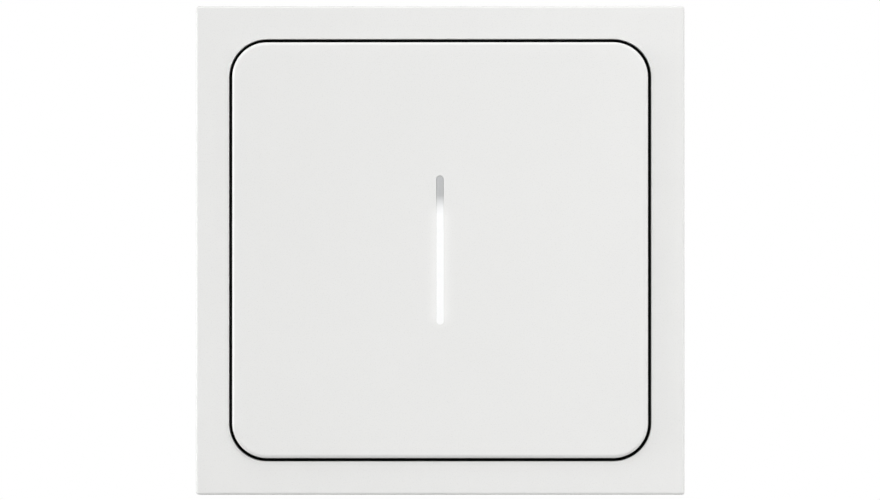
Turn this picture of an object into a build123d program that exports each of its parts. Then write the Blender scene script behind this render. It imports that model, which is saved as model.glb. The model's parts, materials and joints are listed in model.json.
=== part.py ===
from build123d import *
import os

# A smart dimmer for a flush wall box, drawn as it hangs on the wall. The wall is the XZ plane, +Z is up
# and the front looks along -Y. Heights count from the wall towards the room, depths from the wall into
# the box, both in millimetres.

# Cover frame
frame_side = 81.0
frame_border = 5.5
frame_skin = 2.0
frame_wall = 1.8
frame_edge = 0.4
frame_corner_land = 0.05
opening_corner = 6.3
opening_edge = 0.1
opening_wall = 1.4
ledge_reach = 4.0
ledge_thickness = 2.4
frame_rib = 0.9
frame_rib_pitch = 20.0
frame_ribs_per_side = 3
frame_rib_lift = 2.0

# Rocker
rocker_gap = 0.54
rocker_proud = 1.0
rocker_skin = 1.8
rocker_wall = 1.4
skirt_clearance = 1.2
rocker_edge = 0.6
rocker_rib = 1.0
rocker_rib_depth = 1.2
rocker_rib_offset = 15.0
foot_side = 4.4
foot_play = 0.05

# Pivot: trunnions on the rocker, snapped into open forks on the module cover
pivot_diameter = 2.4
pivot_play = 0.05
pivot_rise = 1.6
pivot_headroom = 1.6
fork_wall = 1.0
fork_thickness = 2.4
fork_grip = 0.8
arm_thickness = 2.0
arm_play = 0.4

# Light bar
bar_width = 1.1
bar_length = 24.6
bar_play = 0.05
guide_flange = 0.9
guide_flange_thickness = 0.8
guide_stem = 0.4
guide_air_gap = 0.6
guide_pocket_play = 0.1
guide_pocket_wall = 1.0
guide_pocket_depth = 1.2

# Control module
flange_play = 0.12
flange_thickness = 1.4
rim_thickness = 1.2
rim_height = 2.6
tub_corner = 2.0
tub_wall = 1.4
tub_floor = 1.0
tub_clearance = 0.2
cover_overhang = 2.0
cover_rise = 0.8
cover_thickness = 1.0
cover_wall = 1.2
cover_play = 0.1
window_play = 0.2
foot_hole_play = 0.7

# Control board and what it carries
board_thickness = 1.2
board_standoff = 0.8
board_play = 0.2
post_side = 4.0
post_inset = 4.0
pin_side = 1.8
pin_play = 0.1
pin_reach = 0.3
dome_diameter = 8.6
dome_gap = 0.6
dome_margin = 1.1
dome_height = 0.75
dome_sheet = 0.2
dome_crown = 3.4
dome_leg = 3.0
led_count = 6
led_inset = 0.6
led_width = 0.8
led_length = 1.6
led_height = 0.7
reflector_wall = 0.9
reflector_play = 0.4
reflector_lift = 0.2
shield_width = 13.0
shield_length = 17.0
shield_height = 2.1
shield_edge = 0.4
shield_inset = 4.9
chip_side = 6.0
chip_height = 0.9
chip_gap = 1.0

# Plug connection between the control module and the power insert
contact_pitch = 2.54
contact_rows = 2
contact_columns = 4
contact_side = 0.64
contact_play = 0.12
contact_tail = 0.5
contact_entry = 3.6
plug_offset = 11.0
plug_margin = 0.1
plug_body = 2.2
socket_lead = 0.3

# Snap legs that hold the control module on the insert
leg_inset = 3.4
leg_thickness = 1.2
leg_width = 6.0
leg_nose = 0.8
leg_play = 0.2
leg_catch = 0.05
leg_tip = 1.5
leg_room = 1.3

# Support plate
plate_thickness = 1.2
plate_overlap = 0.5
plate_corner = 6.0
plate_web = 1.1
plate_edge = 1.6
box_screw_pitch = 60.0
box_screw_hole = 4.2
box_screw_head = 9.0
slot_sweep = 16.0
lug_width = 10.0
lug_tip = 1.8
lug_play = 0.1
lug_relief = 1.0
lug_bend_land = 0.2
catch_depth = 5.0
catch_height = 1.8
catch_width = 5.0
catch_reach = 0.9
catch_play = 0.3

# Power insert housing
box_bore = 60.0
insert_clearance = 1.5
insert_depth = 29.0
housing_wall = 1.6
housing_edge = 0.8
lid_thickness = 1.6
lid_play = 0.1
lid_bar = 1.2
lid_bar_length = 14.0
lid_bar_depth = 1.5

# Power board and what it carries
power_board_depth = 5.2
power_board_thickness = 1.6
power_board_play = 0.4
board_seat = 2.0
board_seat_width = 3.0
board_seat_offset = 10.0
part_gap = 1.0
choke_radius = 5.4
choke_section = 2.4
can_diameter = 8.0
can_length = 13.0
core_width = 12.0
core_length = 6.0
core_height = 11.0
bobbin_width = 9.0
bobbin_length = 12.0
bobbin_height = 9.0
film_width = 13.0
film_length = 6.0
film_height = 11.5
film_edge = 0.6
fuse_diameter = 8.4
fuse_height = 7.6
varistor_diameter = 9.0
varistor_thickness = 3.8
varistor_lift = 1.5
varistor_lead = 0.8
varistor_lead_pitch = 5.0
sink_thickness = 1.5
sink_margin = 1.2
sink_wall_gap = 0.4
sink_end_gap = 2.0
transistor_gap = 1.6
transistor_width = 10.0
transistor_thickness = 4.4
transistor_tab = 1.3
transistor_body = 9.2
transistor_lift = 3.0
transistor_lead = 0.8
transistor_lead_pitch = 2.54
transistor_leads = 3

# Screw terminals, screws to the rear and wire entries from below
terminal_count = 4
terminal_depth = 20.0
rib_between = 0.8
wire_entry = 3.4
wire_funnel = 0.7
cage_wall = 0.8
cage_length = 6.0
cage_head = 1.6
cage_gap = 0.6
cage_play = 0.2
cage_end_gap = 1.2
clamp_screw_diameter = 3.4
clamp_screw_play = 0.05
access_play = 0.2
clamp_slot_width = 0.8
clamp_slot_depth = 0.9
contact_strip = 0.8
contact_strip_play = 0.1
contact_strip_clear = 1.8

# Heights above the wall, stacked from the support plate to the rocker's face
plate_top = plate_thickness
ledge_top = plate_top + ledge_thickness
flange_top = ledge_top + flange_thickness
rim_top = flange_top + rim_height
floor_bottom = plate_top + tub_clearance
floor_top = floor_bottom + tub_floor
board_bottom = floor_top + board_standoff
board_top = board_bottom + board_thickness
dome_top = board_top + dome_height
cover_bottom = flange_top + cover_rise
cover_top = cover_bottom + cover_thickness
reflector_top = cover_top + reflector_lift
pivot_height = cover_top + pivot_rise
skirt_bottom = rim_top + skirt_clearance
rocker_inside = pivot_height + pivot_headroom
rocker_front = rocker_inside + rocker_skin
frame_height = rocker_front - rocker_proud

# Plan sizes of the frame, the rocker and the plate
frame_corner = frame_edge + frame_corner_land
opening_side = frame_side - 2 * frame_border
channel_side = frame_side - 2 * frame_wall
channel_inner = opening_side + 2 * opening_wall
channel_width = (channel_side - channel_inner) / 2
ledge_window = opening_side - 2 * ledge_reach
rocker_side = opening_side - 2 * rocker_gap
rocker_corner = opening_corner - rocker_gap
rocker_cavity = rocker_side - 2 * rocker_wall
flange_side = opening_side - 2 * flange_play
flange_corner = opening_corner - flange_play
plate_side = max(opening_side + 2 * plate_overlap, box_screw_pitch + box_screw_hole + 2 * plate_edge)

# Plan sizes of the control module, from the light bar outward
guide_pocket_offset = guide_flange + guide_pocket_play
reflector_inner = guide_stem + reflector_play
reflector_outer = reflector_inner + reflector_wall
led_pitch = (bar_length - 2 * led_inset - led_length) / (led_count - 1)
foot_offset = bar_length / 2 + reflector_outer + dome_gap + dome_diameter / 2
board_side = 2 * (foot_offset + dome_diameter / 2 + dome_margin)
tub_cavity = board_side + 2 * board_play
tub_side = tub_cavity + 2 * tub_wall
cover_side = tub_side + 2 * cover_overhang
post_offset = tub_cavity / 2 - post_inset
pin_places = [(post_offset, post_offset), (-post_offset, -post_offset)]
shield_offset = board_side / 2 - shield_inset - shield_width / 2
plug_width = contact_rows * contact_pitch
plug_length = contact_columns * contact_pitch
chip_row = plug_length / 2 + chip_gap + chip_side / 2
trunnion_end = cover_side / 2
fork_start = trunnion_end - fork_thickness
arm_end = fork_start - arm_play
arm_start = arm_end - arm_thickness
arm_radius = pivot_rise - arm_play

# Plan sizes of the in-wall insert: it clears the round box, and its flats leave room for the plate's lugs
insert_diameter = box_bore - 2 * insert_clearance
insert_flats = box_screw_pitch - box_screw_hole - 2 * (plate_web + plate_thickness + lug_play)
insert_inner = insert_flats / 2 - housing_wall
lug_inside = insert_flats / 2 + lug_play
lug_length = catch_depth + catch_height / 2 + catch_play + lug_tip
leg_radius = insert_inner - leg_inset
leg_inner = leg_radius - leg_thickness / 2
leg_outer = leg_radius + leg_thickness / 2
leg_catch_depth = lid_thickness + leg_catch
leg_tip_depth = leg_catch_depth + leg_tip
plate_window = 2 * (leg_outer + leg_room)

# Power board: depths, and its parts set in rows below the transistors
board_front = power_board_depth
board_rear = board_front + power_board_thickness
floor_depth = insert_depth - housing_wall
transistor_pitch = transistor_width + transistor_gap
sink_width = transistor_pitch + transistor_width + 2 * sink_margin
sink_height = floor_depth - board_rear - sink_end_gap
round_room = insert_diameter / 2 - housing_wall - sink_wall_gap
sink_top = min(insert_inner - sink_wall_gap, (round_room**2 - sink_width**2 / 4) ** 0.5)
sink_face = sink_top - sink_thickness
parts_top = sink_face - transistor_thickness - part_gap
choke_outer = choke_radius + choke_section
choke_column = -(can_diameter / 2 + part_gap + choke_outer)
choke_row = parts_top - choke_outer
film_row = choke_row - choke_outer - part_gap - film_length / 2
can_rows = (parts_top - can_diameter / 2, parts_top - 3 * can_diameter / 2 - part_gap)
varistor_row = parts_top - 2 * can_diameter - 2 * part_gap - varistor_thickness / 2
core_column = can_diameter / 2 + part_gap + core_width / 2
core_row = parts_top - bobbin_length / 2
fuse_row = core_row - bobbin_length / 2 - part_gap - fuse_diameter / 2

# Terminals: the clamp is as wide as its wire, and everything else stacks round it
cage_width = wire_entry + 2 * cage_wall
cage_window = wire_entry + contact_strip
strip_width = wire_entry - 2 * contact_strip_play
terminal_pitch = cage_width + 2 * cage_play + rib_between
terminal_row = housing_wall + cage_end_gap + cage_length / 2
terminal_zone = terminal_row + cage_length / 2 + contact_strip_clear + contact_strip + contact_strip_play
terminal_line = terminal_row - insert_flats / 2
terminal_floor = terminal_depth - housing_wall
step_row = terminal_zone - insert_flats / 2
clamp_screw_rear = terminal_depth - access_play
cage_rear = terminal_floor - cage_gap
cage_front = cage_rear - cage_head - cage_window - cage_wall
strip_rear = cage_rear - cage_head
strip_front = strip_rear - contact_strip
strip_lower = terminal_line - cage_length / 2
strip_upper = step_row - contact_strip_play
wire_depth = strip_front - wire_entry / 2


def at_height(height):
    """The plane parallel to the wall at a height above it; sketches there read as seen from the room."""
    return Plane.XZ.offset(height)


def at_depth(depth):
    """The plane parallel to the wall at a depth inside the box."""
    return Plane.XZ.offset(-depth)


def side_planes():
    """Four planes square to the wall, one per side: local x runs outward, local y into the wall."""
    into_wall = Vector(0, 1, 0)
    outward = [Vector(1, 0, 0), Vector(0, 0, 1), Vector(-1, 0, 0), Vector(0, 0, -1)]
    return [Plane((0, 0, 0), x_dir=way, z_dir=way.cross(into_wall)) for way in outward]


def insert_outline(inset=0.0):
    """Outline of the insert: a square with its corners cut round to clear the round wall box."""
    Circle(insert_diameter / 2 - inset)
    Rectangle(insert_flats - 2 * inset, insert_flats - 2 * inset, mode=Mode.INTERSECT)


def terminal_places():
    """Sketch locations of the terminals, side by side along the insert's lower edge."""
    return [((i - (terminal_count - 1) / 2) * terminal_pitch, terminal_line) for i in range(terminal_count)]


# Cover frame: a square moulding, hollow towards the wall, with an inner ledge that the module clamps
with BuildPart() as cover_frame:
    with BuildSketch(at_height(0)):
        RectangleRounded(frame_side, frame_side, frame_corner)
        RectangleRounded(opening_side, opening_side, opening_corner, mode=Mode.SUBTRACT)
    extrude(amount=frame_height)
    fillet(cover_frame.faces().sort_by(Axis.Y)[0].outer_wire().edges(), frame_edge)
    chamfer(cover_frame.faces().sort_by(Axis.Y)[0].inner_wires()[0].edges(), opening_edge)
    with BuildSketch(at_height(0)):
        Rectangle(channel_side, channel_side)
        RectangleRounded(channel_inner, channel_inner, opening_corner + opening_wall, mode=Mode.SUBTRACT)
    extrude(amount=frame_height - frame_skin, mode=Mode.SUBTRACT)
    with BuildSketch(at_height(frame_rib_lift)):
        with PolarLocations((channel_side + channel_inner) / 4, 4):
            with GridLocations(1, frame_rib_pitch, 1, frame_ribs_per_side):
                Rectangle(channel_width + opening_wall, frame_rib)
    extrude(amount=frame_height - frame_skin - frame_rib_lift)
    with BuildSketch(at_height(0)):
        Rectangle(channel_side, channel_side)
    extrude(amount=plate_top, mode=Mode.SUBTRACT)
    with BuildSketch(at_height(plate_top)):
        RectangleRounded(opening_side + opening_wall, opening_side + opening_wall, opening_corner)
        Rectangle(ledge_window, ledge_window, mode=Mode.SUBTRACT)
        with PolarLocations(box_screw_pitch / 2, 4):
            Rectangle(box_screw_head, box_screw_head, mode=Mode.SUBTRACT)
    extrude(amount=ledge_thickness)

# Rocker: one moulded tray with ribs, two switch feet, a pocket for the light guide and two trunnions
with BuildPart() as rocker:
    with BuildSketch(at_height(rocker_front)):
        RectangleRounded(rocker_side, rocker_side, rocker_corner)
    extrude(amount=skirt_bottom - rocker_front)
    fillet(rocker.faces().sort_by(Axis.Y)[0].edges(), rocker_edge)
    with BuildSketch(at_height(rocker_inside)):
        RectangleRounded(rocker_cavity, rocker_cavity, rocker_corner - rocker_wall)
    extrude(amount=skirt_bottom - rocker_inside, mode=Mode.SUBTRACT)
    with BuildSketch(at_height(rocker_inside)):
        with GridLocations(2 * rocker_rib_offset, 1, 2, 1):
            Rectangle(rocker_rib, rocker_cavity + rocker_wall)
        with GridLocations(1, 2 * foot_offset, 1, 2):
            Rectangle(rocker_cavity + rocker_wall, rocker_rib)
    extrude(amount=-rocker_rib_depth)
    with BuildSketch(at_height(rocker_inside)):
        with GridLocations(1, 2 * foot_offset, 1, 2):
            Rectangle(foot_side, foot_side)
    extrude(amount=dome_top + foot_play - rocker_inside)
    pocket_width = bar_width + 2 * guide_pocket_offset
    pocket_length = bar_length + 2 * guide_pocket_offset
    with BuildSketch(at_height(rocker_inside)):
        Rectangle(pocket_width + 2 * guide_pocket_wall, pocket_length + 2 * guide_pocket_wall)
        Rectangle(pocket_width, pocket_length, mode=Mode.SUBTRACT)
    extrude(amount=-guide_pocket_depth)
    with BuildSketch(at_height(rocker_front)):
        SlotOverall(bar_length + 2 * bar_play, bar_width + 2 * bar_play, rotation=90)
    extrude(amount=-rocker_skin, mode=Mode.SUBTRACT)
    for side in (1, -1):
        with BuildSketch(Plane.YZ.offset(side * arm_start)):
            with Locations((-pivot_height, 0)):
                Circle(arm_radius)
            with Locations((-(pivot_height + rocker_inside) / 2, 0)):
                Rectangle(pivot_headroom, 2 * arm_radius)
        extrude(amount=side * arm_thickness)
        with BuildSketch(Plane.YZ.offset(side * arm_end)):
            with Locations((-pivot_height, 0)):
                Circle(pivot_diameter / 2)
        extrude(amount=side * (trunnion_end - arm_end))

# Light guide: a clear bar, flush with the rocker's face, on a flange that seats inside the rocker
with BuildPart() as light_guide:
    with BuildSketch(at_height(rocker_inside)):
        SlotOverall(bar_length, bar_width, rotation=90)
    extrude(amount=rocker_skin)
    with BuildSketch(at_height(rocker_inside)):
        Rectangle(bar_width + 2 * guide_flange, bar_length + 2 * guide_flange)
    extrude(amount=-guide_flange_thickness)
    with BuildSketch(at_height(rocker_inside - guide_flange_thickness)):
        Rectangle(bar_width + 2 * guide_stem, bar_length + 2 * guide_stem)
    extrude(amount=reflector_top + guide_air_gap - rocker_inside + guide_flange_thickness)

# Module base: a tub with a flange that holds the frame, a light-tight rim and four snap legs
with BuildPart() as module_base:
    with BuildSketch(at_height(ledge_top)):
        RectangleRounded(flange_side, flange_side, flange_corner)
    extrude(amount=flange_thickness)
    with BuildSketch(at_height(flange_top)):
        RectangleRounded(flange_side, flange_side, flange_corner)
        rim_inner = flange_side - 2 * rim_thickness
        RectangleRounded(rim_inner, rim_inner, flange_corner - rim_thickness, mode=Mode.SUBTRACT)
    extrude(amount=rim_height)
    with BuildSketch(at_height(floor_bottom)):
        RectangleRounded(tub_side, tub_side, tub_corner)
    extrude(amount=ledge_top - floor_bottom)
    with BuildSketch(at_height(floor_top)):
        Rectangle(tub_cavity, tub_cavity)
    extrude(amount=flange_top - floor_top, mode=Mode.SUBTRACT)
    with BuildSketch(at_height(floor_top)):
        with GridLocations(2 * post_offset, 2 * post_offset, 2, 2):
            Rectangle(post_side, post_side)
    extrude(amount=board_standoff)
    with BuildSketch(at_height(board_bottom)):
        with Locations(*pin_places):
            Rectangle(pin_side, pin_side)
    extrude(amount=board_thickness + pin_reach)
    with BuildSketch(at_height(floor_bottom)):
        with Locations((plug_offset, 0)):
            Rectangle(plug_width + 2 * window_play, plug_length + 2 * window_play)
    extrude(amount=tub_floor, mode=Mode.SUBTRACT)
    for side_plane in side_planes():
        with BuildSketch(side_plane):
            with BuildLine():
                Polyline(
                    (leg_inner, -floor_top),
                    (leg_inner, leg_tip_depth),
                    (leg_outer, leg_tip_depth),
                    (leg_outer + leg_nose, leg_catch_depth + leg_nose),
                    (leg_outer + leg_nose, leg_catch_depth),
                    (leg_outer, leg_catch_depth),
                    (leg_outer, -floor_top),
                    close=True,
                )
            make_face()
        extrude(amount=leg_width / 2, both=True)

# Module cover: a shallow lid over the control board, with the two pivot forks and windows for light and feet
with BuildPart() as module_cover:
    with BuildSketch(at_height(cover_bottom)):
        RectangleRounded(cover_side, cover_side, tub_corner)
    extrude(amount=cover_thickness)
    with BuildSketch(at_height(flange_top)):
        RectangleRounded(cover_side, cover_side, tub_corner)
        wall_inner = cover_side - 2 * cover_wall
        Rectangle(wall_inner, wall_inner, mode=Mode.SUBTRACT)
    extrude(amount=cover_rise)
    with BuildSketch(at_height(board_top)):
        locating_side = tub_cavity - 2 * cover_play
        Rectangle(locating_side, locating_side)
        Rectangle(locating_side - 2 * cover_wall, locating_side - 2 * cover_wall, mode=Mode.SUBTRACT)
    extrude(amount=cover_bottom - board_top)
    for side in (1, -1):
        fork_half = pivot_diameter / 2 + pivot_play + fork_wall
        with BuildSketch(Plane.YZ.offset(side * fork_start)):
            fork_middle = (cover_top + pivot_height + fork_grip) / 2
            with Locations((-fork_middle, 0)):
                Rectangle(pivot_height + fork_grip - cover_top, 2 * fork_half)
            with Locations((-pivot_height, 0)):
                Circle(pivot_diameter / 2 + pivot_play, mode=Mode.SUBTRACT)
        extrude(amount=side * fork_thickness)
    window_width = bar_width + 2 * (reflector_outer + window_play)
    window_length = bar_length + 2 * (reflector_outer + window_play)
    with BuildSketch(at_height(cover_top)):
        Rectangle(window_width, window_length)
        with GridLocations(1, 2 * foot_offset, 1, 2):
            Rectangle(foot_side + 2 * foot_hole_play, foot_side + 2 * foot_hole_play)
        with Locations((-shield_offset, 0)):
            Rectangle(shield_width + 2 * window_play, shield_length + 2 * window_play)
    extrude(amount=-cover_thickness, mode=Mode.SUBTRACT)

# Control board, on the tub's four posts and located by two pins
with BuildPart() as control_board:
    with BuildSketch(at_height(board_bottom)):
        Rectangle(board_side, board_side)
        with Locations(*pin_places):
            Rectangle(pin_side + 2 * pin_play, pin_side + 2 * pin_play, mode=Mode.SUBTRACT)
        with Locations((plug_offset, 0)):
            with GridLocations(contact_pitch, contact_pitch, contact_rows, contact_columns):
                Rectangle(contact_side, contact_side, mode=Mode.SUBTRACT)
    extrude(amount=board_thickness)


def snap_dome(row):
    """A four-legged spring-steel dome on the control board, under one foot of the rocker."""
    foot = dome_diameter / 2
    crown = dome_crown / 2
    with BuildPart() as dome:
        for across in (Vector(1, 0, 0), Vector(0, 0, 1)):
            along = across.cross(Vector(0, 1, 0))
            with BuildSketch(Plane((0, -board_top, row), x_dir=across, z_dir=-along)):
                with BuildLine():
                    Polyline(
                        (-foot, 0),
                        (-crown, dome_height),
                        (crown, dome_height),
                        (foot, 0),
                        (foot - dome_sheet, 0),
                        (crown, dome_height - dome_sheet),
                        (-crown, dome_height - dome_sheet),
                        (dome_sheet - foot, 0),
                        close=True,
                    )
                make_face()
            extrude(amount=dome_leg / 2, both=True)
    return dome


snap_dome_upper = snap_dome(foot_offset)
snap_dome_lower = snap_dome(-foot_offset)

# Row of small lamps behind the light bar
with BuildPart() as indicator_leds:
    with BuildSketch(at_height(board_top)):
        with GridLocations(1, led_pitch, 1, led_count):
            Rectangle(led_width, led_length)
    extrude(amount=led_height)

# Reflector: a white channel that mixes the lamps' light and shuts it off from the board
with BuildPart() as led_reflector:
    with BuildSketch(at_height(board_top)):
        Rectangle(bar_width + 2 * reflector_outer, bar_length + 2 * reflector_outer)
        Rectangle(bar_width + 2 * reflector_inner, bar_length + 2 * reflector_inner, mode=Mode.SUBTRACT)
    extrude(amount=reflector_top - board_top)

# Screening can over the radio
with BuildPart() as radio_shield:
    with BuildSketch(at_height(board_top)):
        with Locations((-shield_offset, 0)):
            Rectangle(shield_width, shield_length)
    extrude(amount=shield_height)
    chamfer(radio_shield.edges().filter_by(Axis.Y), shield_edge)
    chamfer(radio_shield.faces().sort_by(Axis.Y)[0].edges(), shield_edge)

# Controller and memory chips
with BuildPart() as control_chips:
    with BuildSketch(at_height(board_top)):
        with GridLocations(1, 2 * chip_row, 1, 2):
            with Locations((plug_offset, 0)):
                Rectangle(chip_side, chip_side)
    extrude(amount=chip_height)

# Plug on the rear of the control board: insulating body and pins
with BuildPart() as plug_insulator:
    with BuildSketch(at_height(board_bottom)):
        with Locations((plug_offset, 0)):
            Rectangle(plug_width - plug_margin, plug_length - plug_margin)
            with GridLocations(contact_pitch, contact_pitch, contact_rows, contact_columns):
                Rectangle(contact_side, contact_side, mode=Mode.SUBTRACT)
    extrude(amount=-plug_body)

with BuildPart() as plug_pins:
    with BuildSketch(at_height(board_top + contact_tail)):
        with Locations((plug_offset, 0)):
            with GridLocations(contact_pitch, contact_pitch, contact_rows, contact_columns):
                Rectangle(contact_side, contact_side)
    extrude(amount=-(board_top + contact_tail + contact_entry))

# Support plate: pressed steel sheet with box screw holes and two lugs bent back along the housing
with BuildPart() as support_plate:
    with BuildSketch(at_height(0)):
        RectangleRounded(plate_side, plate_side, plate_corner)
        Circle(plate_window / 2, mode=Mode.SUBTRACT)
        Rectangle(2 * lug_inside, lug_width + 2 * lug_relief, mode=Mode.SUBTRACT)
        with PolarLocations(box_screw_pitch / 2, 2, start_angle=90):
            Circle(box_screw_hole / 2, mode=Mode.SUBTRACT)
        for middle in (0, 180):
            sweep_line = CenterArc(
                (0, 0), box_screw_pitch / 2, middle - slot_sweep / 2, slot_sweep, mode=Mode.PRIVATE
            )
            SlotArc(sweep_line, box_screw_hole, mode=Mode.SUBTRACT)
    extrude(amount=plate_thickness)
    for side in (1, -1):
        with BuildSketch(at_height(plate_top)):
            with Locations((side * (lug_inside + plate_thickness / 2), 0)):
                Rectangle(plate_thickness, lug_width)
        extrude(amount=-(plate_top + lug_length))
    bends = support_plate.edges().filter_by(Axis.Z).group_by(Axis.Y)[0]
    bends = [bend for bend in bends if abs(abs(bend.center().X) - lug_inside) < lug_play / 2]
    fillet(bends, plate_thickness - lug_bend_land)
    with BuildSketch(Plane.YZ):
        with Locations((catch_depth, 0)):
            Rectangle(catch_height + 2 * catch_play, catch_width + 2 * catch_play)
    extrude(amount=plate_side, both=True, mode=Mode.SUBTRACT)

# Lid of the power insert, with slots for the snap legs and the plug, locating bars and four board stops
with BuildPart() as housing_lid:
    with BuildSketch(at_height(0)):
        insert_outline()
        with PolarLocations(leg_radius, 4):
            Rectangle(leg_thickness + 2 * leg_play, leg_width + 2 * leg_play, mode=Mode.SUBTRACT)
        with Locations((plug_offset, 0)):
            Rectangle(plug_width + 2 * window_play, plug_length + 2 * window_play, mode=Mode.SUBTRACT)
    extrude(amount=-lid_thickness)
    with BuildSketch(at_depth(lid_thickness)):
        with PolarLocations(insert_inner - lid_play - lid_bar / 2, 4):
            Rectangle(lid_bar, lid_bar_length)
    extrude(amount=-lid_bar_depth)
    with BuildSketch(at_depth(lid_thickness)):
        with GridLocations(2 * insert_inner - 2 * power_board_play - board_seat, 2 * board_seat_offset, 2, 2):
            Rectangle(board_seat, board_seat_width)
    extrude(amount=lid_thickness - board_front)

# Rear housing: an open box with a lower step for the terminals, board seats and two catches
with BuildPart() as rear_housing:
    with BuildSketch(at_depth(lid_thickness)):
        insert_outline()
    extrude(amount=lid_thickness - insert_depth)
    with BuildSketch(at_depth(insert_depth)):
        with Locations((0, step_row - insert_flats / 2)):
            Rectangle(insert_diameter, insert_flats)
    extrude(amount=insert_depth - terminal_depth, mode=Mode.SUBTRACT)
    rear_faces = rear_housing.faces().filter_by(Axis.Y).sort_by(Axis.Y)
    step_edges = rear_faces[-2].edges().sort_by(Axis.Z)[:-1]
    chamfer(rear_faces[-1].edges() + step_edges, housing_edge)
    with BuildSketch(at_depth(lid_thickness)):
        insert_outline(housing_wall)
    extrude(amount=lid_thickness - terminal_floor, mode=Mode.SUBTRACT)
    with BuildSketch(at_depth(terminal_floor)):
        insert_outline(housing_wall)
        with Locations((0, step_row + housing_wall - insert_flats / 2)):
            Rectangle(insert_diameter, insert_flats, mode=Mode.SUBTRACT)
    extrude(amount=terminal_floor - floor_depth, mode=Mode.SUBTRACT)
    with BuildSketch(at_depth(terminal_floor)):
        insert_outline(housing_wall)
        with Locations((0, step_row + housing_wall + insert_flats / 2)):
            Rectangle(insert_diameter, insert_flats, mode=Mode.SUBTRACT)
        with Locations((0, step_row - insert_flats / 2)):
            Rectangle(insert_diameter, insert_flats, mode=Mode.SUBTRACT)
    extrude(amount=terminal_floor - board_rear)
    seat_middle = (insert_flats - housing_wall - board_seat) / 2
    with BuildSketch(at_depth(board_rear)):
        with GridLocations(2 * seat_middle, 2 * board_seat_offset, 2, 2):
            Rectangle(board_seat + housing_wall, board_seat_width)
    extrude(amount=board_rear - terminal_floor)
    with BuildSketch(at_depth(terminal_floor)):
        with Locations((0, terminal_line)):
            with GridLocations(terminal_pitch, 1, terminal_count - 1, 1):
                Rectangle(rib_between, cage_length)
    extrude(amount=terminal_floor - cage_front)
    with BuildSketch(at_depth(terminal_depth)):
        with Locations(*terminal_places()):
            Circle(clamp_screw_diameter / 2 + access_play)
    extrude(amount=housing_wall, mode=Mode.SUBTRACT)
    with BuildSketch(Plane.XY.offset(-insert_flats / 2)):
        with Locations(*[(place[0], wire_depth) for place in terminal_places()]):
            Rectangle(wire_entry, wire_entry)
    extrude(amount=housing_wall, mode=Mode.SUBTRACT)
    entry_rims = [rim.edges() for rim in rear_housing.faces().sort_by(Axis.Z)[0].inner_wires()]
    chamfer(entry_rims, wire_funnel)
    for side in (1, -1):
        with BuildSketch(Plane.XY):
            with BuildLine():
                Polyline(
                    (side * (insert_flats / 2 - housing_wall / 2), catch_depth - catch_height / 2),
                    (side * insert_flats / 2, catch_depth - catch_height / 2),
                    (side * (insert_flats / 2 + catch_reach), catch_depth + catch_height / 2),
                    (side * (insert_flats / 2 - housing_wall / 2), catch_depth + catch_height / 2),
                    close=True,
                )
            make_face()
        extrude(amount=catch_width / 2, both=True)

# Power board, seated on the housing's ledges
with BuildPart() as power_board:
    with BuildSketch(at_depth(board_front)):
        insert_outline(housing_wall + power_board_play)
    extrude(amount=-power_board_thickness)

# Socket on the front of the power board, reached through the lid
with BuildPart() as socket_insulator:
    with BuildSketch(at_depth(board_front)):
        with Locations((plug_offset, 0)):
            Rectangle(plug_width - plug_margin, plug_length - plug_margin)
    extrude(amount=board_front - socket_lead)
    with BuildSketch(at_depth(socket_lead)):
        with Locations((plug_offset, 0)):
            with GridLocations(contact_pitch, contact_pitch, contact_rows, contact_columns):
                Rectangle(contact_side + 2 * contact_play, contact_side + 2 * contact_play)
    extrude(amount=-(contact_entry + contact_play - socket_lead), mode=Mode.SUBTRACT)

# Interference choke: a coated ring core
with BuildPart() as filter_choke:
    with BuildSketch(at_depth(board_rear)):
        with Locations((choke_column, choke_row)):
            Circle(choke_outer)
            Circle(choke_radius - choke_section, mode=Mode.SUBTRACT)
    extrude(amount=-2 * choke_section)

# Two electrolytic capacitors
with BuildPart() as bulk_capacitors:
    with BuildSketch(at_depth(board_rear)):
        with Locations(*[(0, row) for row in can_rows]):
            Circle(can_diameter / 2)
    extrude(amount=-can_length)

# Supply transformer: core and bobbin
with BuildPart() as supply_transformer:
    with BuildSketch(at_depth(board_rear)):
        with Locations((core_column, core_row)):
            Rectangle(core_width, core_length)
    extrude(amount=-core_height)
    with BuildSketch(at_depth(board_rear)):
        with Locations((core_column, core_row)):
            Rectangle(bobbin_width, bobbin_length)
    extrude(amount=-bobbin_height)

# Film capacitor across the mains
with BuildPart() as film_capacitor:
    with BuildSketch(at_depth(board_rear)):
        with Locations((choke_column, film_row)):
            Rectangle(film_width, film_length)
    extrude(amount=-film_height)
    chamfer(film_capacitor.edges().filter_by(Axis.Y), film_edge)
    chamfer(film_capacitor.faces().sort_by(Axis.Y)[-1].edges(), film_edge)

# Radial fuse
with BuildPart() as fuse:
    with BuildSketch(at_depth(board_rear)):
        with Locations((core_column, fuse_row)):
            Circle(fuse_diameter / 2)
    extrude(amount=-fuse_height)

# Varistor: a coated disc on edge, on two leads
with BuildPart() as varistor:
    disc_depth = board_rear + varistor_lift + varistor_diameter / 2
    with BuildSketch(Plane.XY.offset(varistor_row)):
        with Locations((0, disc_depth)):
            Circle(varistor_diameter / 2)
    extrude(amount=varistor_thickness / 2, both=True)
    with BuildSketch(at_depth(board_rear)):
        with Locations((0, varistor_row)):
            with GridLocations(varistor_lead_pitch, 1, 2, 1):
                Rectangle(varistor_lead, varistor_lead)
    extrude(amount=-(varistor_lift + varistor_diameter / 2))

# Aluminium heat spreader, on edge along the upper wall
with BuildPart() as heat_spreader:
    with BuildSketch(at_depth(board_rear)):
        with Locations((0, sink_top - sink_thickness / 2)):
            Rectangle(sink_width, sink_thickness)
    extrude(amount=-sink_height)

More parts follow.
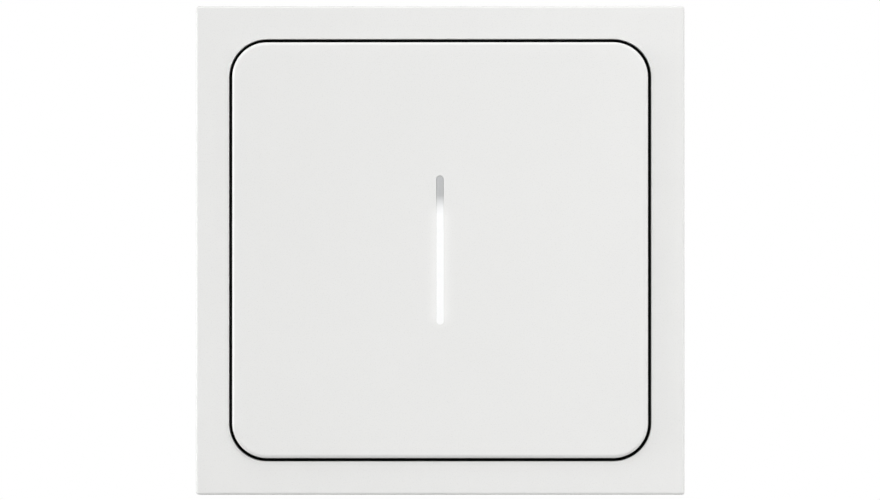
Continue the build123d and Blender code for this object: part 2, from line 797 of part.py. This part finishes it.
# Two power transistors, tabs against the heat spreader
with BuildPart() as power_transistors:
    with BuildSketch(at_depth(board_rear + transistor_lift)):
        with Locations((0, sink_face - transistor_thickness / 2)):
            with GridLocations(transistor_pitch, 1, 2, 1):
                Rectangle(transistor_width, transistor_thickness)
    extrude(amount=-transistor_body)
    with BuildSketch(at_depth(board_rear + transistor_lift + transistor_body)):
        with Locations((0, sink_face - transistor_tab / 2)):
            with GridLocations(transistor_pitch, 1, 2, 1):
                Rectangle(transistor_width, transistor_tab)
    extrude(amount=transistor_lift + transistor_body - sink_height)
    with BuildSketch(at_depth(board_rear)):
        with Locations((0, sink_face - transistor_thickness / 2)):
            with GridLocations(transistor_pitch, 1, 2, 1):
                with GridLocations(transistor_lead_pitch, 1, transistor_leads, 1):
                    Rectangle(transistor_lead, transistor_lead)
    extrude(amount=-transistor_lift)

# Terminal contacts: brass strips from the clamps to the power board
with BuildPart() as terminal_contacts:
    for place in terminal_places():
        with BuildSketch(Plane.YZ.offset(place[0])):
            with BuildLine():
                Polyline(
                    (strip_rear, strip_lower),
                    (strip_rear, strip_upper),
                    (board_rear, strip_upper),
                    (board_rear, strip_upper - contact_strip),
                    (strip_front, strip_upper - contact_strip),
                    (strip_front, strip_lower),
                    close=True,
                )
            make_face()
        extrude(amount=strip_width / 2, both=True)

# Terminal clamps: cages that the screws draw up against the contacts
with BuildPart() as terminal_clamps:
    with BuildSketch(at_depth(cage_rear)):
        with Locations(*terminal_places()):
            Rectangle(cage_width, cage_length)
    extrude(amount=cage_rear - cage_front)
    with BuildSketch(at_depth(cage_rear - cage_head)):
        with Locations(*terminal_places()):
            Rectangle(cage_width - 2 * cage_wall, cage_length)
    extrude(amount=cage_window, mode=Mode.SUBTRACT)
    with BuildSketch(at_depth(cage_rear)):
        with Locations(*terminal_places()):
            Circle(clamp_screw_diameter / 2 + clamp_screw_play)
    extrude(amount=cage_head, mode=Mode.SUBTRACT)

# Terminal screws: headless, slotted to the rear, bearing on the contacts
with BuildPart() as terminal_screws:
    with BuildSketch(at_depth(clamp_screw_rear)):
        with Locations(*terminal_places()):
            Circle(clamp_screw_diameter / 2)
    extrude(amount=clamp_screw_rear - strip_rear)
    with BuildSketch(at_depth(clamp_screw_rear)):
        with Locations(*terminal_places()):
            Rectangle(clamp_slot_width, clamp_screw_diameter)
    extrude(amount=clamp_slot_depth, mode=Mode.SUBTRACT)

pieces = {
    "cover_frame": cover_frame,
    "rocker": rocker,
    "light_guide": light_guide,
    "module_base": module_base,
    "module_cover": module_cover,
    "control_board": control_board,
    "snap_dome_upper": snap_dome_upper,
    "snap_dome_lower": snap_dome_lower,
    "indicator_leds": indicator_leds,
    "led_reflector": led_reflector,
    "radio_shield": radio_shield,
    "control_chips": control_chips,
    "plug_insulator": plug_insulator,
    "plug_pins": plug_pins,
    "support_plate": support_plate,
    "housing_lid": housing_lid,
    "rear_housing": rear_housing,
    "power_board": power_board,
    "socket_insulator": socket_insulator,
    "filter_choke": filter_choke,
    "bulk_capacitors": bulk_capacitors,
    "supply_transformer": supply_transformer,
    "film_capacitor": film_capacitor,
    "fuse": fuse,
    "varistor": varistor,
    "heat_spreader": heat_spreader,
    "power_transistors": power_transistors,
    "terminal_contacts": terminal_contacts,
    "terminal_clamps": terminal_clamps,
    "terminal_screws": terminal_screws,
}

os.makedirs("parts", exist_ok=True)
for name, piece in pieces.items():
    piece.part.label = name
    export_step(piece.part, f"parts/{name}.step")
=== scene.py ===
import json
import math

import bpy
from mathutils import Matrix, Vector


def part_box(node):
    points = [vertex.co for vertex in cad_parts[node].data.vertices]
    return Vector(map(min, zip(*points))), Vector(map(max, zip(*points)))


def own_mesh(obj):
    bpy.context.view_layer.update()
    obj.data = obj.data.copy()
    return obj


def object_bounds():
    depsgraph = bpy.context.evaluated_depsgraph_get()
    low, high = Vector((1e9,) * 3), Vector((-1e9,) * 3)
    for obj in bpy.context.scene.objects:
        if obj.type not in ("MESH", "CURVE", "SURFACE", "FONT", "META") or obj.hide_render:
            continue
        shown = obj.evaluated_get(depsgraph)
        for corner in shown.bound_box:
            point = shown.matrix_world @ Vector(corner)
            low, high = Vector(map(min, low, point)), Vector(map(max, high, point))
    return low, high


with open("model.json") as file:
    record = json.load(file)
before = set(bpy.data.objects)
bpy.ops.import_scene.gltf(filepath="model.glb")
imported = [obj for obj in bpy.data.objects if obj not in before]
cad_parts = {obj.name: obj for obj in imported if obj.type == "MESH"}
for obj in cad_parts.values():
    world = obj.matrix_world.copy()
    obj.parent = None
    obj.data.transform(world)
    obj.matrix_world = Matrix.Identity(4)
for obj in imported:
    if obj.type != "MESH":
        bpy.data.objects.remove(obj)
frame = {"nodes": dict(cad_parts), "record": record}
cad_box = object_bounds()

MM = 0.001
WHITE = (1, 1, 1, 1)
MAIN_SHADER = "Principled BSDF"

# The photograph in pixels: its size, the width of the cover frame and the middle of the frame's opening
PHOTO_WIDTH = 880
PHOTO_HEIGHT = 500
FRAME_PIXELS = 488.6
OPENING_X = 440.1
OPENING_Y = 250.14

# Noise lies mostly between these values, and fine grain takes this much detail
NOISE_LOW = 0.3
NOISE_HIGH = 0.7
FINE_DETAIL = 3.0

# Moulded plastic: size of the patches in its colour, and how far its roughness strays to either side
PATCH_SIZE = 18 * MM
PLASTIC_GLOSS = 0.05

# Plain plastics by material slot: colour and roughness
PLASTICS = {
    "lamp": ((0.9, 0.86, 0.7), 0.2),
    "reflector_white": ((0.85, 0.85, 0.85), 0.5),
    "chip_black": ((0.02, 0.02, 0.02), 0.45),
    "capacitor_sleeve": ((0.03, 0.03, 0.045), 0.3),
    "winding_tape": ((0.7, 0.48, 0.06), 0.35),
    "film_yellow": ((0.72, 0.5, 0.08), 0.35),
    "fuse_brown": ((0.12, 0.05, 0.025), 0.35),
    "varistor_blue": ((0.04, 0.1, 0.36), 0.25),
}

# Metal: rolling lines, so many times longer than wide, and clouds; the lines' share of the finish, and how
# far the finish takes the colour and the roughness to either side
LINE_WIDTH = 0.12 * MM
LINE_DEPTH = 0.0008 * MM
LINE_STRETCH = 40.0
LINE_SHARE = 0.6
CLOUD_SIZE = 9 * MM
METAL_DARK = 0.93
METAL_BRIGHT = 1.04
METAL_GLOSSIER = 0.05
METAL_DULLER = 0.06

# Metals by material slot: colour and roughness
METALS = {
    "spring_steel": ((0.7, 0.7, 0.7), 0.24),
    "brass": ((0.8, 0.62, 0.28), 0.28),
    "zinc_steel": ((0.53, 0.54, 0.57), 0.34),
    "aluminium": ((0.75, 0.76, 0.77), 0.36),
}

# Depth of the slots in the terminal screws, and the share of the metal's brightness left down in them by
# painted shade
SLOT_DEPTH = 0.9 * MM
SLOT_PAINTED_SHADE = 0.25

# Circuit boards: the net of tracks, its line width as a share of the net's size, and the tracks' height
NET_SIZE = 5.0 * MM
NET_LINE = 0.03
TRACK_HEIGHT = 0.03 * MM

# Copper winding of the choke: turns round its ring, and the height of a turn
WINDING_TURNS = 44
WINDING_RIDGE = 0.15 * MM

# Light bar: it is lit from its lower end up to a height, fades out up to another, and is grey above
BAR_LIT_TOP = 5.35 * MM
BAR_DARK_FROM = 9.0 * MM
BAR_GLOW = 0.465
BAR_GREYS = ((0.50, 0.505, 0.51), (0.53, 0.535, 0.54))
MILK_SIZE = 1.2 * MM

# Painted glow, an emission in the rocker round the lit bar: how far above the light guide's lower end it
# starts, the distances from the bar's middle line at which it weakens and ends, and its strength
HALO_INSET = 2.5 * MM
HALO_START = 0.6 * MM
HALO_REACH = 2.9 * MM
PAINTED_HALO_GLOW = 0.072

# Camera: almost straight on, a little from the right and from below, in metres, degrees and millimetres
CAMERA_DISTANCE = 3.0
CAMERA_AZIMUTH = 0.9
CAMERA_ELEVATION = -1.1
SENSOR_WIDTH = 36.0

# Floor: its colour to look at, its colour as it lights the part, and the share of its radius without a fade
FLOOR_RADIUS = 0.35
FLOOR_SIDES = 128
FLOOR_DROP = 14.5 * MM
FLOOR_COLOUR = (0.9, 0.9, 0.89)
FLOOR_BOUNCE = (0.64, 0.64, 0.64)
FLOOR_ROUGHNESS = 0.8
FLOOR_PLAIN = 0.35

# Light from all round: its strength from below and from above, and the heights between which it changes,
# where -1 is straight down and 1 is straight up
AMBIENT_BELOW = 0.135
AMBIENT_ABOVE = 0.26
AMBIENT_LOW_END = -0.3
AMBIENT_HIGH_END = 0.5

# Lamps: name, place and side in metres, share of the light on a face turned to it, and whether it shows
# in the part's gloss
SOFTBOXES = (
    ("left_edge", (-2.3, -0.15, 0.2), 1.0, 0.465, True),
    ("top", (-0.03, -0.25, 0.66), 0.3, 0.24, True),
    ("left", (-2.1, -0.9, 0.3), 1.2, 0.195, True),
    ("right", (2.2, -1.0, 0.3), 1.0, 0.172, False),
    ("near_right", (0.26, -0.36, 0.3), 0.25, 0.34, False),
    ("front", (0.3, -3.0, 1.0), 1.0, 0.16, False),
    ("back_left", (-0.7, 2.0, 0.2), 0.9, 0.32, False),
    ("back_right", (1.1, 1.8, 0.2), 0.9, 0.26, False),
)


def feed(tree, node, inputs):
    """Sets a node's inputs: a plain value is written, and another node's output is linked."""
    for name, value in inputs.items():
        if isinstance(value, bpy.types.NodeSocket):
            tree.links.new(value, node.inputs[name])
        else:
            node.inputs[name].default_value = value


def add_node(tree, kind, inputs, **settings):
    """Adds a node with its settings and inputs."""
    made = tree.nodes.new(kind)
    for name, value in settings.items():
        setattr(made, name, value)
    feed(tree, made, inputs)
    return made


def object_place(tree):
    """Coordinates fixed to the piece, in metres."""
    return tree.nodes.new("ShaderNodeTexCoord").outputs["Object"]


def split(tree, vector):
    """A vector's X, Y and Z."""
    return add_node(tree, "ShaderNodeSeparateXYZ", {"Vector": vector}).outputs


def length(tree, vector):
    """A vector's length."""
    return add_node(tree, "ShaderNodeVectorMath", {0: vector}, operation="LENGTH").outputs["Value"]


def calculate(tree, operation, *values):
    """One arithmetic step on numbers or outputs."""
    return add_node(tree, "ShaderNodeMath", dict(enumerate(values)), operation=operation).outputs["Value"]


def noise(tree, place, size, detail=2.0):
    """Noise whose features are about that many metres across."""
    made = add_node(tree, "ShaderNodeTexNoise", {"Vector": place, "Scale": 1 / size, "Detail": detail})
    return made.outputs["Fac"]


def two_tones(tree, value, low, high, start=NOISE_LOW, end=NOISE_HIGH):
    """A blend from one colour to another, as a value goes from start to end."""
    ramp = add_node(tree, "ShaderNodeValToRGB", {"Fac": value})
    for stop, position, colour in zip(ramp.color_ramp.elements, (start, end), (low, high)):
        stop.position = position
        stop.color = (*colour, 1)
    return ramp.outputs["Color"]


def to_range(tree, value, low, high, start=NOISE_LOW, end=NOISE_HIGH, kind="LINEAR"):
    """Goes from low to high as a value goes from start to end, and is held beyond them."""
    inputs = {"Value": value, "From Min": start, "From Max": end, "To Min": low, "To Max": high}
    return add_node(tree, "ShaderNodeMapRange", inputs, interpolation_type=kind).outputs["Result"]


def relief(tree, height, depth):
    """The slopes of a relief that is that many metres deep."""
    return add_node(tree, "ShaderNodeBump", {"Height": height, "Distance": depth}).outputs["Normal"]


def shade(colour, factor):
    """A colour made lighter or darker."""
    return tuple(min(1.0, part * factor) for part in colour)


def new_material(name):
    """A node material with a plain shader, and its node tree."""
    material = bpy.data.materials.new(name)
    material.use_nodes = True
    return material, material.node_tree


def set_surface(material, inputs):
    """Sets inputs of the material's shader."""
    feed(material.node_tree, material.node_tree.nodes[MAIN_SHADER], inputs)


def moulded(name, colour, roughness, spread=0.02, grain=0.25 * MM, depth=0.004 * MM):
    """Moulded plastic: faint patches in its colour, and a fine grain in its gloss and relief."""
    material, tree = new_material(name)
    place = object_place(tree)
    patches = noise(tree, place, PATCH_SIZE)
    fine = noise(tree, place, grain, FINE_DETAIL)
    set_surface(
        material,
        {
            "Base Color": two_tones(tree, patches, shade(colour, 1 - spread), shade(colour, 1 + spread)),
            "Roughness": to_range(tree, fine, roughness - PLASTIC_GLOSS, roughness + PLASTIC_GLOSS),
            "Normal": relief(tree, fine, depth),
        },
    )
    return material


def white_plastic(name):
    """Smooth white plastic of the cover frame and the rocker."""
    return moulded(name, (0.82, 0.82, 0.809), 0.3, spread=0.004, grain=0.2 * MM, depth=0.0012 * MM)


def rocker_plastic_painted_glow():
    """White plastic with a painted glow, an emission, close beside the lit bar."""
    material = white_plastic("rocker_white_painted_glow")
    tree = material.node_tree
    place = split(tree, object_place(tree))
    glow_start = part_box("light_guide")[0].z + HALO_INSET
    limits = {"Value": place["Z"], "Min": glow_start, "Max": BAR_LIT_TOP}
    nearest = add_node(tree, "ShaderNodeClamp", limits).outputs["Result"]
    past_end = calculate(tree, "SUBTRACT", place["Z"], nearest)
    from_bar = add_node(tree, "ShaderNodeCombineXYZ", {"X": place["X"], "Z": past_end}).outputs["Vector"]
    near = to_range(tree, length(tree, from_bar), 1.0, 0.0, HALO_START, HALO_REACH)
    painted_glow = calculate(tree, "MULTIPLY", calculate(tree, "MULTIPLY", near, near), PAINTED_HALO_GLOW)
    # Painted glow: the rocker's plastic emits light near the lit bar
    set_surface(material, {"Emission Color": WHITE, "Emission Strength": painted_glow})
    return material


def light_bar():
    """Milky bar: grey where it is dark, glowing where it is lit."""
    material, tree = new_material("light_guide")
    place = object_place(tree)
    fade = to_range(tree, split(tree, place)["Z"], 0.0, 1.0, BAR_LIT_TOP, BAR_DARK_FROM)
    lit = calculate(tree, "SUBTRACT", 1.0, calculate(tree, "MULTIPLY", fade, fade))
    set_surface(
        material,
        {
            "Base Color": two_tones(tree, noise(tree, place, MILK_SIZE), *BAR_GREYS),
            "Roughness": 0.35,
            "Emission Color": WHITE,
            "Emission Strength": calculate(tree, "MULTIPLY", lit, BAR_GLOW),
        },
    )
    return material


def black_plastic():
    """Dull black plastic of the control module, which shows in the gap round the rocker."""
    material = moulded("black_plastic", (0.01, 0.01, 0.01), 0.85)
    set_surface(material, {"Specular IOR Level": 0.12})
    return material


def housing_plastic():
    """Dark grey plastic with a coarser grain."""
    return moulded("housing_grey", (0.05, 0.052, 0.055), 0.5, spread=0.06, grain=0.5 * MM, depth=0.02 * MM)


def metal(name, colour, roughness):
    """Rolled or plated metal: fine upright rolling lines, and faint clouds in colour and gloss."""
    material, tree = new_material(name)
    place = object_place(tree)
    stretch = add_node(tree, "ShaderNodeMapping", {"Vector": place, "Scale": (1, 1, 1 / LINE_STRETCH)})
    lines = noise(tree, stretch.outputs["Vector"], LINE_WIDTH, FINE_DETAIL)
    clouds = noise(tree, place, CLOUD_SIZE)
    line_part = calculate(tree, "MULTIPLY", lines, LINE_SHARE)
    cloud_part = calculate(tree, "MULTIPLY", clouds, 1 - LINE_SHARE)
    finish = calculate(tree, "ADD", line_part, cloud_part)
    set_surface(
        material,
        {
            "Base Color": two_tones(tree, finish, shade(colour, METAL_DARK), shade(colour, METAL_BRIGHT)),
            "Metallic": 1.0,
            "Roughness": to_range(tree, finish, roughness - METAL_GLOSSIER, roughness + METAL_DULLER),
            "Normal": relief(tree, lines, LINE_DEPTH),
        },
    )
    return material


def screw_steel_painted_slots():
    """Plated steel of the terminal screws, which face the rear, with painted shade that darkens its colour
    down in their slots.
    """
    material = metal("screw_steel_painted_slots", *METALS["zinc_steel"])
    tree = material.node_tree
    rear_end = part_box("terminal_screws")[1].y
    rearward = split(tree, object_place(tree))["Y"]
    # Painted shade: the plating's colour grows darker with depth down in the slots
    painted_slot_shade = to_range(tree, rearward, SLOT_PAINTED_SHADE, 1.0, rear_end - SLOT_DEPTH, rear_end)
    plating = tree.nodes[MAIN_SHADER].inputs["Base Color"].links[0].from_socket
    slot_shaded_plating = add_node(tree, "ShaderNodeVectorMath", {0: plating, "Scale": painted_slot_shade}, operation="SCALE")
    set_surface(material, {"Base Color": slot_shaded_plating.outputs["Vector"]})
    return material


def circuit_board():
    """Green solder mask over a faint net of copper tracks."""
    material, tree = new_material("circuit_board")
    place = split(tree, object_place(tree))
    plan = add_node(tree, "ShaderNodeCombineXYZ", {"X": place["X"], "Y": place["Z"]})
    net = add_node(
        tree,
        "ShaderNodeTexBrick",
        {
            "Vector": plan.outputs["Vector"],
            "Color1": (0.022, 0.13, 0.05, 1),
            "Color2": (0.026, 0.15, 0.06, 1),
            "Mortar": (0.05, 0.22, 0.08, 1),
            "Scale": 1 / NET_SIZE,
            "Mortar Size": NET_LINE,
        },
    )
    set_surface(
        material,
        {
            "Base Color": net.outputs["Color"],
            "Roughness": 0.3,
            "Normal": relief(tree, net.outputs["Fac"], TRACK_HEIGHT),
        },
    )
    return material


def wound_copper():
    """Enamelled wire wound round a ring: fine ridges across it, with painted shade darkening the colour down
    between the turns.
    """
    material, tree = new_material("copper_winding")
    low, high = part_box("filter_choke")
    inputs = {0: object_place(tree), 1: (low + high) / 2}
    from_middle = add_node(tree, "ShaderNodeVectorMath", inputs, operation="SUBTRACT")
    place = split(tree, from_middle.outputs["Vector"])
    angle = calculate(tree, "ARCTAN2", place["Z"], place["X"])
    # Painted shade: the colour follows these ridges and is dark down between the turns
    turn_ridges_and_shade = calculate(tree, "SINE", calculate(tree, "MULTIPLY", angle, WINDING_TURNS))
    set_surface(
        material,
        {
            "Base Color": two_tones(tree, turn_ridges_and_shade, (0.24, 0.08, 0.03), (0.66, 0.3, 0.13), 0.0, 1.0),
            "Metallic": 0.9,
            "Roughness": 0.32,
            "Normal": relief(tree, turn_ridges_and_shade, WINDING_RIDGE),
        },
    )
    return material


def slot_materials():
    """One material for each material slot of the record."""
    materials = {
        "white_plastic": white_plastic("white_plastic"),
        "light_guide": light_bar(),
        "black_plastic": black_plastic(),
        "housing_grey": housing_plastic(),
        "circuit_board": circuit_board(),
        "copper_winding": wound_copper(),
    }
    for slot, look in PLASTICS.items():
        materials[slot] = moulded(slot, *look)
    for slot, look in METALS.items():
        materials[slot] = metal(slot, *look)
    return materials


def dress_nodes():
    """Gives every node of the frame a material of its own, or else that of its slot."""
    by_slot = slot_materials()
    by_node = {"rocker": rocker_plastic_painted_glow(), "terminal_screws": screw_steel_painted_slots()}
    for part in frame["record"]["subparts"]:
        name = part["node"]
        data = frame["nodes"][name].data
        data.materials.clear()
        data.materials.append(by_node.get(name, by_slot[part["material_slot"]]))


def press_domes():
    """Gives each snap dome on the control board a mesh of its own."""
    for name in ("snap_dome_upper", "snap_dome_lower"):
        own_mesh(frame["nodes"][name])


def seen_rays(tree):
    """1 for what is seen directly, in a reflection or through glass, and 0 for what only lights the part."""
    path = tree.nodes.new("ShaderNodeLightPath").outputs
    seen = calculate(tree, "MAXIMUM", path["Is Camera Ray"], path["Is Glossy Ray"])
    return calculate(tree, "MAXIMUM", seen, path["Is Transmission Ray"])


def mix_shaders(tree, share, first, second):
    """The first shader, with a share of the second in its place."""
    return add_node(tree, "ShaderNodeMixShader", {"Fac": share, 1: first, 2: second}).outputs["Shader"]


def floor_material():
    """Matt and pale: to look at, it fades into the white surroundings and is clear from below."""
    material, tree = new_material("floor")
    seen = seen_rays(tree)
    tone = two_tones(tree, seen, FLOOR_BOUNCE, FLOOR_COLOUR, 0.0, 1.0)
    set_surface(material, {"Base Color": tone, "Roughness": FLOOR_ROUGHNESS})
    matt = tree.nodes[MAIN_SHADER].outputs["BSDF"]
    white = add_node(tree, "ShaderNodeEmission", {"Color": WHITE}).outputs["Emission"]
    clear = tree.nodes.new("ShaderNodeBsdfTransparent").outputs["BSDF"]
    reach = length(tree, object_place(tree))
    fade = to_range(tree, reach, 0.0, 1.0, FLOOR_PLAIN * FLOOR_RADIUS, FLOOR_RADIUS, "SMOOTHSTEP")
    from_below = tree.nodes.new("ShaderNodeNewGeometry").outputs["Backfacing"]
    upper_side = mix_shaders(tree, calculate(tree, "MULTIPLY", fade, seen), matt, white)
    both_sides = mix_shaders(tree, calculate(tree, "MULTIPLY", from_below, seen), upper_side, clear)
    feed(tree, tree.nodes["Material Output"], {"Surface": both_sides})
    return material


def add_floor():
    """A round floor below the part."""
    low, high = cad_box
    centre = Vector(((low.x + high.x) / 2, (low.y + high.y) / 2, low.z - FLOOR_DROP))
    bpy.ops.mesh.primitive_circle_add(
        vertices=FLOOR_SIDES, radius=FLOOR_RADIUS, fill_type="NGON", location=centre
    )
    floor = bpy.context.object
    floor.name = "floor"
    floor.data.materials.append(floor_material())


def set_world():
    """White to look at, and a weaker light on the part, most of it from above."""
    world = bpy.data.worlds.new("studio")
    world.use_nodes = True
    tree = world.node_tree
    direction = tree.nodes.new("ShaderNodeTexCoord").outputs["Generated"]
    height = split(tree, direction)["Z"]
    light = to_range(tree, height, AMBIENT_BELOW, AMBIENT_ABOVE, AMBIENT_LOW_END, AMBIENT_HIGH_END)
    strength = to_range(tree, seen_rays(tree), light, 1.0, 0.0, 1.0)
    feed(tree, tree.nodes["Background"], {"Color": WHITE, "Strength": strength})
    bpy.context.scene.world = world


def add_softbox(name, place, side, share, in_gloss):
    """A square lamp aimed at the front's middle; share is its part of the light on a face turned to it."""
    target = Vector((0, cad_box[0].y, 0))
    place = Vector(place)
    lamp = bpy.data.lights.new(name, "AREA")
    lamp.size = side
    # The brightness of a white face is the lamp's power divided by the square of pi times the distance
    lamp.energy = share * math.pi**2 * (place - target).length_squared
    made = bpy.data.objects.new(name, lamp)
    made.location = place
    made.rotation_euler = (target - place).to_track_quat("-Z", "Y").to_euler()
    made.visible_camera = False
    made.visible_glossy = in_gloss
    bpy.context.collection.objects.link(made)


def add_camera():
    """At the front through a long lens, framed as in the photograph."""
    low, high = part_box("cover_frame")
    pixel = (high.x - low.x) / FRAME_PIXELS
    target = Vector(((low.x + high.x) / 2, low.y, (low.z + high.z) / 2))
    azimuth = math.radians(CAMERA_AZIMUTH)
    elevation = math.radians(CAMERA_ELEVATION)
    back = Vector((math.sin(azimuth), -math.cos(azimuth), math.tan(elevation))).normalized()
    turn = (-back).to_track_quat("-Z", "Y")
    aside = Vector((PHOTO_WIDTH / 2 - OPENING_X, OPENING_Y - PHOTO_HEIGHT / 2, 0)) * pixel
    camera_data = bpy.data.cameras.new("camera")
    camera_data.sensor_width = SENSOR_WIDTH
    camera_data.lens = SENSOR_WIDTH * CAMERA_DISTANCE / (PHOTO_WIDTH * pixel)
    camera = bpy.data.objects.new("camera", camera_data)
    camera.location = target + back * CAMERA_DISTANCE + turn @ aside
    camera.rotation_euler = turn.to_euler()
    bpy.context.collection.objects.link(camera)
    bpy.context.scene.camera = camera


dress_nodes()
press_domes()
add_floor()
set_world()
for softbox in SOFTBOXES:
    add_softbox(*softbox)
add_camera()
bpy.context.scene.view_settings.view_transform = "Standard"
